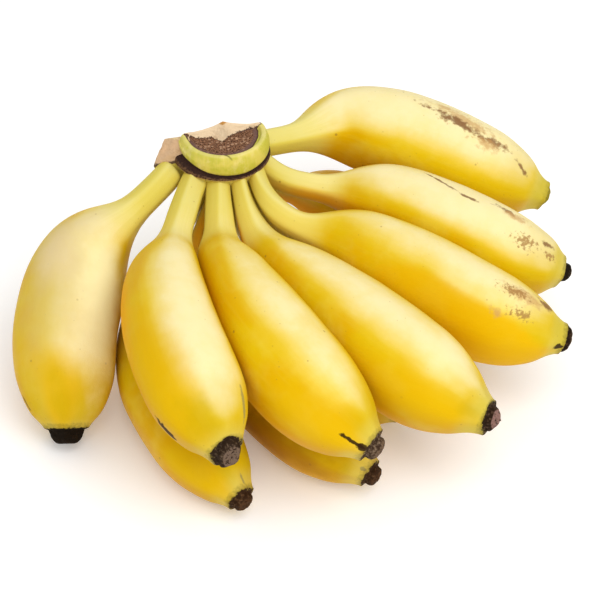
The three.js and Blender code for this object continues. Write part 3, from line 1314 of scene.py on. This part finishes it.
@dataclass
class Rows:
    """The hand's two rows of fingers, each counted from the left."""

    finish: PeelFinish

    def upper(self) -> list[Finger]:
        """The upper row, from the left.

        Returns:
            The fingers, not yet built.
        """
        # Some marks are painted light: deeper gold and orange painted shade on the lower and left sides and in
        # the gaps, and a painted highlight on the first finger's right side. The rest are the peel's own
        # marks.
        first = (
            Mark(BlemishAndPaintedLight.DULL, 50, 12, 92, 48),
            Mark(BlemishAndPaintedLight.BLOOM, 62, 18, 46, 28),
            Mark(BlemishAndPaintedLight.PALE_HIGHLIGHT, 47, -50, 86, 27),
            Mark(BlemishAndPaintedLight.GOLD_SHADE, 14, 6, 34, 22),
            Mark(BlemishAndPaintedLight.OLIVE, 12, 2, 26, 15),
            Mark(BlemishAndPaintedLight.DARK, 12.8, 69, 6.5, 1.0, -23),
        )
        second = (
            Mark(BlemishAndPaintedLight.GOLD_SHADE, 27, 54, 62, 32),
            Mark(BlemishAndPaintedLight.AMBER_SHADE, 62, 80, 56, 18),
            Mark(BlemishAndPaintedLight.OLIVE, 13, 34, 20, 22),
            Mark(BlemishAndPaintedLight.DARK, 17.0, 99, 9.5, 5.6, 28),
            Mark(BlemishAndPaintedLight.GREY, 13.5, -54, 14, 2.8, -13),
        )
        third = (
            Mark(BlemishAndPaintedLight.GOLD_SHADE, 18, 66, 46, 26),
            Mark(BlemishAndPaintedLight.DARK, 7.6, 58, 11, 2.8, 11),
            Mark(BlemishAndPaintedLight.DARK, 4.2, 60, 6, 6.4, 20),
        )
        fourth = (
            Mark(BlemishAndPaintedLight.AMBER_SHADE, 105, 82, 42, 18),
            Mark(BlemishAndPaintedLight.GOLD_SHADE, 24, 70, 56, 28),
            Mark(BlemishAndPaintedLight.OLIVE, 8.5, 50, 10, 14),
        )
        fifth = (
            Mark(BlemishAndPaintedLight.FACET_SHADE, 36, 86, 66, 34, 14),
            Mark(BlemishAndPaintedLight.TAN, 20, 5, 20, 9),
            Mark(BlemishAndPaintedLight.SCRATCH, 23, 6, 11, 5),
            Mark(BlemishAndPaintedLight.BRUISE, 11.5, -1, 8, 6),
            Mark(BlemishAndPaintedLight.SCRATCH, 20, 34, 8, 5),
            Mark(BlemishAndPaintedLight.TAN, 26, 42, 5, 5),
            Mark(BlemishAndPaintedLight.DARK, 4.6, 84, 3.4, 8),
        )
        sixth = (
            Mark(BlemishAndPaintedLight.AMBER_SHADE, 91, 106, 46, 30),
            Mark(BlemishAndPaintedLight.BRUISE, 52, -13, 16, 1.6, 20),
            Mark(BlemishAndPaintedLight.BRUISE, 42, -2, 9, 1.5, 5),
            Mark(BlemishAndPaintedLight.BRUISE, 29.5, -11, 10, 4, 8),
            Mark(BlemishAndPaintedLight.TAN, 26, -6, 14, 5),
            Mark(BlemishAndPaintedLight.SCRATCH, 20.5, 27, 8, 6),
            Mark(BlemishAndPaintedLight.SCRATCH, 12, 34, 5, 4),
            Mark(BlemishAndPaintedLight.BRUISE, 13.2, 16, 5, 3.4),
        )
        seventh = (
            Mark(BlemishAndPaintedLight.TAN, 38, -1, 36, 11, 9),
            Mark(BlemishAndPaintedLight.BRUISE, 40, 6, 26, 5, 8),
            Mark(BlemishAndPaintedLight.BRUISE, 27, 12, 14, 4.4, 4),
            Mark(BlemishAndPaintedLight.TAN, 28, 18, 12, 6),
            Mark(BlemishAndPaintedLight.BRUISE, 14.5, 26, 9, 2.6, 38),
        )
        return [
            Finger("upper_finger_1", TipKind.BLACK, first, 0.05, root_length=8.5 * MM),
            Finger("upper_finger_2", TipKind.LOBED, second, 0.08),
            Finger("upper_finger_3", TipKind.CRUSTY, third, -0.05),
            Finger("upper_finger_4", TipKind.SPIKED, fourth, 0.02),
            Finger("upper_finger_5", TipKind.CRESCENT, fifth),
            Finger("upper_finger_6", TipKind.SMALL, sixth, 0.16),
            Finger("upper_finger_7", TipKind.GREEN, seventh, 0.16),
        ]

    def lower(self) -> list[Finger]:
        """The lower row, from the left.

        Returns:
            The fingers, not yet built.
        """
        # Some marks are painted shade: deeper gold, orange and dark brown where these fingers lie in shade
        # under the upper row. The rest are the peel's own marks.
        first = (
            Mark(BlemishAndPaintedLight.GREY, 5.8, -18, 4, 3.5),
            Mark(BlemishAndPaintedLight.OLIVE, 12, 10, 14, 16),
            Mark(BlemishAndPaintedLight.GOLD_SHADE, 14, 58, 34, 26),
        )
        second = (
            Mark(BlemishAndPaintedLight.SHADE, 30, 86, 62, 28),
            Mark(BlemishAndPaintedLight.AMBER_SHADE, 116, 12, 40, 36),
            Mark(BlemishAndPaintedLight.OLIVE, 8.5, 64, 5, 14),
            Mark(BlemishAndPaintedLight.GREY, 4.5, 40, 3, 5),
        )
        fifth = (Mark(BlemishAndPaintedLight.AMBER_SHADE, 84, 125, 64, 40),)
        return [
            Finger("lower_finger_1", TipKind.RAGGED, first, -0.22),
            Finger("lower_finger_2", TipKind.RAGGED, second, -0.35),
            Finger("lower_finger_3", TipKind.PLAIN, (), -0.2),
            Finger("lower_finger_4", TipKind.PLAIN, (), -0.2),
            Finger("lower_finger_5", TipKind.PLAIN, fifth, -0.2),
        ]

    def build(self, hub: Vector) -> None:
        """Makes every finger round the hub."""
        for finger in self.upper() + self.lower():
            finger.build(hub, self.finish)


# ---------------------------------------------------------------- the crown
@dataclass
class Crown:
    """The stump of the bunch's stem: its skin and bract scar, the cut across its top, and the cut behind.

    Its profile is in millimetres, as radius and height. The curves are in degrees and millimetres, or in
    millimetres alone.
    """

    finish: CrownFinish
    node: str = "crown"
    packed_radius: float = 15.8 * MM
    rim_height: float = 70 * MM
    cut_facing: float = math.radians(104)
    cut_reach: float = 3 * MM
    columns: int = 150
    pole: Pair = (0.4 * MM, -5.0 * MM)
    profile: Curve = (
        (0.5, 42.1), (6.2, 42.1), (8.8, 43.6), (10.2, 46), (10.6, 50), (11.4, 53.5), (13.0, 56.5),
        (14.6, 59.8), (15.7, 60.8), (16.1, 61.1), (16.0, 61.4), (16.2, 61.6), (16.2, 61.9), (15.7, 62.1),
        (14.9, 62.2), (14.6, 62.4), (14.8, 62.7), (15.3, 63.1), (15.5, 63.9), (15.5, 65.6), (15.2, 67.4),
        (14.7, 68.9), (14.2, 69.7), (13.7, 70.0),
    )
    # The heights that the scar's ledge takes, and those that rise with the scar's upper edge.
    ledge_band: tuple[float, float, float, float] = (60.2, 60.8, 62.0, 62.4)
    lifted_band: tuple[float, float, float, float] = (61.6, 62.4, 64.5, 68.5)
    # By angle: how far the scar's upper edge rises, how far its ledge stands out further, and how wide the
    # skin's lip is on top.
    scar_rise: Curve = (
        (-40, 0.2), (-20, 0.5), (0, 1.0), (104, 1.5), (190, 2.6), (222, 2.1), (250, 0.6), (276, 0.0),
        (300, -0.2),
    )
    ledge_flare: Curve = (
        (-30, -0.3), (0, -0.4), (104, -0.4), (170, 0.8), (200, 1.4), (225, 1.0), (250, 0.2), (276, 0.0),
    )
    lip_width: Curve = (
        (-14, 2.4), (15, 1.9), (104, 1.0), (180, 0.1), (204, 1.3), (229, 1.8), (254, 1.4), (278, 1.3),
        (298, 1.7), (319, 1.8), (346, 2.4),
    )
    # From left to right: where the torn flesh has its front edge, a shallow V, and how high it stands.
    flesh_front: Curve = (
        (-14, -0.6), (-11.5, -0.8), (-8.1, -1.3), (-3.9, -0.9), (-0.5, -3.4), (1.5, -0.4), (5.4, 2.6),
        (8.8, 4.2), (14, 5.4),
    )
    flesh_crest: Curve = (
        (-14, 69.8), (-10.5, 69.9), (-7, 70.5), (-3.5, 71.5), (-0.4, 72.9), (2, 71.9), (5, 70.9),
        (8, 70.1), (11, 69.9), (14, 69.9),
    )
    cracks: tuple[tuple[Triple, Triple], ...] = (((-1.4, -11.6, 70.2), (3.6, -14.6, 68.8)),)
    profile_step: float = 0.4 * MM
    lip_depth: float = 1.35 * MM
    torn_grain: float = 1.4 * MM
    fibre_grain: float = 1.3 * MM
    fibre_depth: float = 0.7 * MM

    def axis(self) -> Vector:
        """The crown's axis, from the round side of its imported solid."""
        low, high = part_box(self.node)
        return Vector((high.x - self.packed_radius, low.y + self.packed_radius, 0))

    def hub(self) -> Vector:
        """The middle of the crown's packed box."""
        low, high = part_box(self.node)
        return (low + high) / 2

    def build(self) -> bpy.types.Object:
        """Makes the stump.

        Returns:
            The piece, dressed and tied to the frame.
        """
        side = self.side()
        top, inward, flesh = self.top(side[-1])
        skin = np.concatenate([side, top])
        inward = np.concatenate([np.zeros(side.shape[:2]), inward])
        flesh = np.concatenate([np.full(side.shape[:2], -1.0), flesh])
        skin, behind = self.rough_back(skin)
        inward = np.maximum(inward, behind)
        flesh = np.where(behind > 0, np.maximum(flesh, behind), flesh)
        level = np.concatenate([np.broadcast_to(self.outline()[:, 1:], side.shape[:2]), top[..., 2]])
        zone = np.stack([level, inward, flesh], axis=-1)
        angle = np.arctan2(skin[..., 1], skin[..., 0])
        bark = np.stack([np.cos(angle), np.sin(angle), skin[..., 2]], axis=-1)
        axis = self.axis()
        skin = skin + np.array(axis)
        piece = wrapped_skin("crown_stump", skin, {"zone": zone, "bark": bark})
        cracks = [(Vector(start) * MM + axis, Vector(end) * MM + axis) for start, end in self.cracks]
        mount(piece, self.finish.stump("crown_stump", cracks), self.node)
        return piece

    @staticmethod
    def by_angle(pairs: Curve, angles: np.ndarray) -> np.ndarray:
        """A length, in metres, that changes round the stump, from pairs of degrees and millimetres."""
        degrees, lengths = zip(*pairs)
        return np.interp(np.degrees(angles) % 360, degrees, lengths, period=360) * MM

    def limit(self, angles: np.ndarray) -> np.ndarray:
        """How far from the axis the cut behind lets the stump reach at each angle."""
        facing = np.cos(angles - self.cut_facing)
        return np.where(facing > 0.02, self.cut_reach / np.maximum(facing, 0.02), 1.0)

    def outline(self) -> np.ndarray:
        """The side's profile as even steps, each a radius and a height.

        Returns:
            The steps, from the foot to the rim.
        """
        points = np.array(self.profile) * MM
        run = np.concatenate([[0], np.cumsum(np.linalg.norm(np.diff(points, axis=0), axis=1))])
        at = np.linspace(0, run[-1], round(run[-1] / self.profile_step))
        return np.stack([np.interp(at, run, points[:, 0]), np.interp(at, run, points[:, 1])], axis=-1)

    def side(self) -> np.ndarray:
        """The stump's side, from the middle of its foot to the rim of the cut.

        Returns:
            Rows by columns by 3, about the crown's axis.
        """
        radius, height = self.outline().T
        angles = 2 * math.pi * np.arange(self.columns) / self.columns
        ledge = band(self.ledge_band, height)
        reach = radius[:, None] + ledge[:, None] * self.by_angle(self.ledge_flare, angles)[None, :]
        reach = np.minimum(reach, self.limit(angles)[None, :])
        lift = band(self.lifted_band, height)[:, None] * self.by_angle(self.scar_rise, angles)[None, :]
        return np.stack([reach * np.cos(angles), reach * np.sin(angles), height[:, None] + lift], axis=-1)

    def top(self, rim: np.ndarray) -> tuple[np.ndarray, np.ndarray, np.ndarray]:
        """The cut across the top: a lip, a sunken brown face and torn flesh along the back.

        Args:
            rim: The side's last row.

        Returns:
            The rows, how far each point is inside the rim, and how far it is on the flesh's side of the edge
            between flesh and brown pith.
        """
        pole = np.array([*self.pole, 0])
        radial = rim - pole
        radial[:, 2] = 0
        span = np.linalg.norm(radial, axis=1)
        # Rows lie close together under the lip and evenly beyond it. Each is at least so far in that they
        # all meet at the pole.
        depths = np.concatenate([np.arange(0.25, 3.0, 0.25) * MM, np.linspace(3.2 * MM, span.max(), 34)])
        share = np.clip(depths[:, None] / span[None, :], 0, 1)
        share = np.maximum(share, (np.arange(len(depths)) / (len(depths) - 1))[:, None] ** 2.2)
        places = pole + radial[None] * (1 - share[..., None])
        inside = share * span[None, :]
        x = places[..., 0]
        y = places[..., 1]
        back = self.back_edge(x)
        front = between(self.flesh_front, x / MM) * MM
        crest = between(self.flesh_crest, x / MM) * MM
        # A sunken floor, and the flesh that rises from its front edge to its crest at the back.
        flesh = y - front
        slope = np.clip(flesh / np.maximum(back - front, 0.5 * MM), 0, 1)
        lip = self.lip_depth * smoothstep(0.7 * MM, 2.0 * MM, inside)
        floor = self.rim_height - 0.05 * MM - lip * smoothstep(-0.5 * MM, 1.5 * MM, back - y)
        torn = floor + (crest - floor) * slope**0.85
        places[..., 2] = np.where(flesh > 0, torn, floor)
        places[..., 2] += rough(places, self.torn_grain) * 0.3 * MM * smoothstep(1.2 * MM, 2.0 * MM, inside)
        angles = np.arctan2(rim[:, 1], rim[:, 0])
        inside = inside - self.by_angle(self.lip_width, angles)[None, :] + 1 * MM
        at_back = smoothstep(1.8 * MM, 0.9 * MM, back - y)
        return places, np.maximum(inside, at_back * 4 * MM), flesh

    def back_edge(self, x: np.ndarray) -> np.ndarray:
        """Where the cut behind crosses the top."""
        return (self.cut_reach - x * math.cos(self.cut_facing)) / math.sin(self.cut_facing)

    def rough_back(self, skin: np.ndarray) -> tuple[np.ndarray, np.ndarray]:
        """Frays the cut behind, and says where it is.

        Args:
            skin: The stump's rows.

        Returns:
            The rows with long fibres on that cut, and how much each point belongs to it, in metres.
        """
        facing = np.array([math.cos(self.cut_facing), math.sin(self.cut_facing), 0])
        depth = self.cut_reach - skin @ facing
        behind = smoothstep(0.25 * MM, 0.02 * MM, depth)
        fibres = np.abs(rough(skin * np.array([1, 1, 0.18]), self.fibre_grain)) * self.fibre_depth
        return skin - facing * (fibres * behind)[..., None], behind * 4 * MM


@dataclass
class CutWing:
    """The wing at the crown's left end, left by a second, slanting cut: the hull of its corners."""

    finish: CrownFinish
    corners: tuple[Triple, ...] = (
        (-11.5, -3.5, 69), (-12, -0.5, 69), (-20.3, 1.5, 66.6), (-24.3, -5.5, 59.6), (-13.5, -6, 62.6),
        (-20, 1, 52), (-21, -4, 53), (-12, -6, 50), (-10, 1, 50),
    )
    lower_edge: tuple[int, int] = (3, 4)
    longest_edge: float = 0.9 * MM
    bump_size: float = 2.2 * MM
    bump_depth: float = 0.25 * MM

    def build(self, axis: Vector) -> bpy.types.Object:
        """Makes the wing beside the crown's axis.

        Args:
            axis: The crown's axis.

        Returns:
            The piece, dressed and tied to the frame.
        """
        left, right = (Vector(self.corners[i]) * MM + axis for i in self.lower_edge)
        slope = (right.z - left.z) / (right.x - left.x)
        mesh = bmesh.new()
        for corner in self.corners:
            mesh.verts.new(Vector(corner) * MM + axis)
        hull = bmesh.ops.convex_hull(mesh, input=mesh.verts)
        bmesh.ops.delete(mesh, geom=hull["geom_interior"], context="VERTS")
        bmesh.ops.dissolve_limit(mesh, angle_limit=math.radians(8), verts=mesh.verts, edges=mesh.edges)
        bmesh.ops.bevel(
            mesh, geom=mesh.edges, offset=0.3 * MM, segments=2, profile=0.5, affect="EDGES", material=-1
        )
        bmesh.ops.triangulate(mesh, faces=mesh.faces)
        for _ in range(4):
            long = [edge for edge in mesh.edges if edge.calc_length() > self.longest_edge]
            bmesh.ops.subdivide_edges(mesh, edges=long, cuts=1, use_grid_fill=True)
            bmesh.ops.triangulate(mesh, faces=[face for face in mesh.faces if len(face.verts) > 3])
        mesh.normal_update()
        zone = mesh.verts.layers.float_vector.new("zone")
        for vertex in mesh.verts:
            vertex[zone] = (vertex.co.z - left.z - slope * (vertex.co.x - left.x), 0, 0)
            bump = noise.fractal(vertex.co / self.bump_size, 1.0, 2.0, 3)
            vertex.co += vertex.normal * bump * self.bump_depth
        bmesh.ops.recalc_face_normals(mesh, faces=mesh.faces)
        piece = piece_from("crown_wing", mesh, 1)
        mount(piece, self.finish.wing("crown_wing"), None)
        return piece


# ---------------------------------------------------------------- the studio
@dataclass
class Studio:
    """A white floor, a broad soft light and the camera."""

    finish: FloorFinish
    elevation: float = math.radians(40)
    distance: float = 0.8
    lens: float = 144.0
    aim: Triple = (25.8 * MM, -46.7 * MM, 35 * MM)
    surround: float = 0.72
    lamp_place: Triple = (0.36, -0.58, 0.95)
    lamp_size: float = 0.9
    lamp_power: float = 8.0

    def build(self, axis: Vector) -> None:
        """Makes the floor, the light and the camera, which looks at a point beside the crown's axis.

        Args:
            axis: The crown's axis.
        """
        middle = Vector(self.aim) + axis
        self.floor()
        self.world()
        self.light(middle)
        self.camera(middle)

    def floor(self) -> None:
        """A broad level sheet under the hand."""
        mesh = bmesh.new()
        bmesh.ops.create_grid(mesh, x_segments=8, y_segments=8, size=6.0)
        floor = piece_from("floor", mesh, 0)
        floor.data.materials.append(self.finish.build())

    def world(self) -> None:
        """An even white surround."""
        world = bpy.data.worlds.new("surround")
        bpy.context.scene.world = world
        world.use_nodes = True
        background = world.node_tree.nodes["Background"]
        background.inputs["Color"].default_value = (1, 1, 1, 1)
        background.inputs["Strength"].default_value = self.surround

    def light(self, middle: Vector) -> None:
        """A square soft light that looks at the hand.

        Args:
            middle: The point that it looks at.
        """
        data = bpy.data.lights.new("key", "AREA")
        data.shape = "SQUARE"
        data.size = self.lamp_size
        data.energy = self.lamp_power
        lamp = bpy.data.objects.new("key", data)
        lamp.location = self.lamp_place
        lamp.rotation_euler = (middle - Vector(self.lamp_place)).to_track_quat("-Z", "Y").to_euler()
        bpy.context.scene.collection.objects.link(lamp)

    def camera(self, middle: Vector) -> None:
        """The camera, in front of the hand and above it, looking at its middle.

        Args:
            middle: The point that it looks at.
        """
        data = bpy.data.cameras.new("camera")
        data.lens = self.lens
        data.sensor_width = 36.0
        data.clip_start = 0.05
        camera = bpy.data.objects.new("camera", data)
        back = Vector((0, -math.cos(self.elevation), math.sin(self.elevation)))
        camera.location = middle + back * self.distance
        camera.rotation_euler = (-back).to_track_quat("-Z", "Y").to_euler()
        bpy.context.scene.collection.objects.link(camera)
        bpy.context.scene.camera = camera
        bpy.context.scene.view_settings.view_transform = "Standard"


def main() -> None:
    """Builds the hand and the studio."""
    logging.basicConfig(level=logging.INFO, format="%(message)s")
    crown = Crown(CrownFinish())
    Studio(FloorFinish()).build(crown.axis())
    crown.build()
    CutWing(CrownFinish()).build(crown.axis())
    Rows(PeelFinish()).build(crown.hub())


if __name__ == "__main__":
    main()
